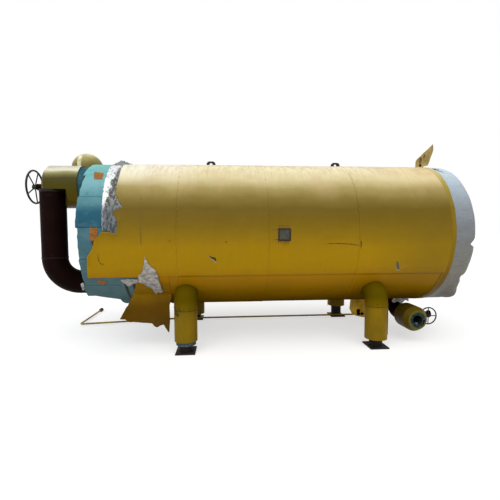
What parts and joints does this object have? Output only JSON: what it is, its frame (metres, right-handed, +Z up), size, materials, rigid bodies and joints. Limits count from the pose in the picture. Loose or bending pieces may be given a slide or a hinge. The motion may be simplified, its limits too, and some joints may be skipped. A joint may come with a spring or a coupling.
{
  "type": "insulated pressure tank",
  "caption": "Horizontal insulated pressure tank on jacketed pipe legs, with torn yellow jacketing, a riser, valves with handwheels and an open outlet.",
  "frame": {"origin": "middle of the bounding box on the ground, between the feet and under the tank", "axes": "+X along the tank from the torn left end to the white domed end, +Y to the back, +Z up"},
  "size_m": [6.0484, 2.484, 2.781],
  "materials": {
    "vessel_steel": "dark primed carbon steel, dull",
    "foam": "rigid blue-green foam, cut and scuffed",
    "yellow_jacket": "thin sheet with golden yellow coating, faded and dirty",
    "membrane": "white vapour membrane, wrinkled and dirty",
    "foil": "crumpled foil",
    "dark_paint": "very dark red-brown paint, rusty in places",
    "black_steel": "black coated steel, rust at edges",
    "plate_metal": "dull grey-green bare plate"
  },
  "bodies": {
    "vessel": {"back_pipe": "vessel_steel", "back_pipe_jacket": "yellow_jacket", "drain_fittings": "black_steel", "drain_pipe": "yellow_jacket", "foam_collars": "foam", "foam_straps": "black_steel", "foil_barrier": "foil", "foot_plates": "black_steel", "hanging_flap": "yellow_jacket", "jacket_course_1": "yellow_jacket", "jacket_course_2": "yellow_jacket", "jacket_course_3": "yellow_jacket", "jacket_course_4": "yellow_jacket", "jacket_trim": "yellow_jacket", "left_head_insulation": "foam", "left_nozzle": "vessel_steel", "left_ring_blocks": "foam", "left_valve_bonnet": "dark_paint", "left_valve_jacket": "yellow_jacket", "leg_jackets": "yellow_jacket", "leg_pipes": "vessel_steel", "lifted_flap": "yellow_jacket", "lifting_lugs": "black_steel", "lower_branch": "dark_paint", "nameplate": "plate_metal", "nameplate_frame": "black_steel", "outlet_elbow_jacket": "dark_paint", "outlet_jacket": "yellow_jacket", "outlet_pipe": "dark_paint", "right_head_insulation": "foam", "right_head_membrane": "membrane", "riser_pipe": "dark_paint", "shell_insulation": "foam", "side_valve": "dark_paint", "sump_couplings": "dark_paint", "sump_jacket": "yellow_jacket", "sump_pipe": "black_steel", "torn_membranes": "membrane", "vessel_left_head": "vessel_steel", "vessel_right_head": "vessel_steel", "vessel_shell": "vessel_steel"},
    "left_handwheel": {"left_handwheel": "dark_paint"},
    "right_handwheel": {"right_handwheel": "dark_paint"}
  },
  "joints": [
    {"name": "left_handwheel_turn", "type": "hinge", "parent": "vessel", "child": "left_handwheel", "pos_m": [-2.9872, -0.39, 2.131], "axis": [-1, 0, 0], "range_deg": [0, 2200]},
    {"name": "right_handwheel_turn", "type": "hinge", "parent": "vessel", "child": "right_handwheel", "pos_m": [2.5368, -0.68, 0.285], "axis": [0, -1, 0], "range_deg": [0, 1460]}
  ]
}
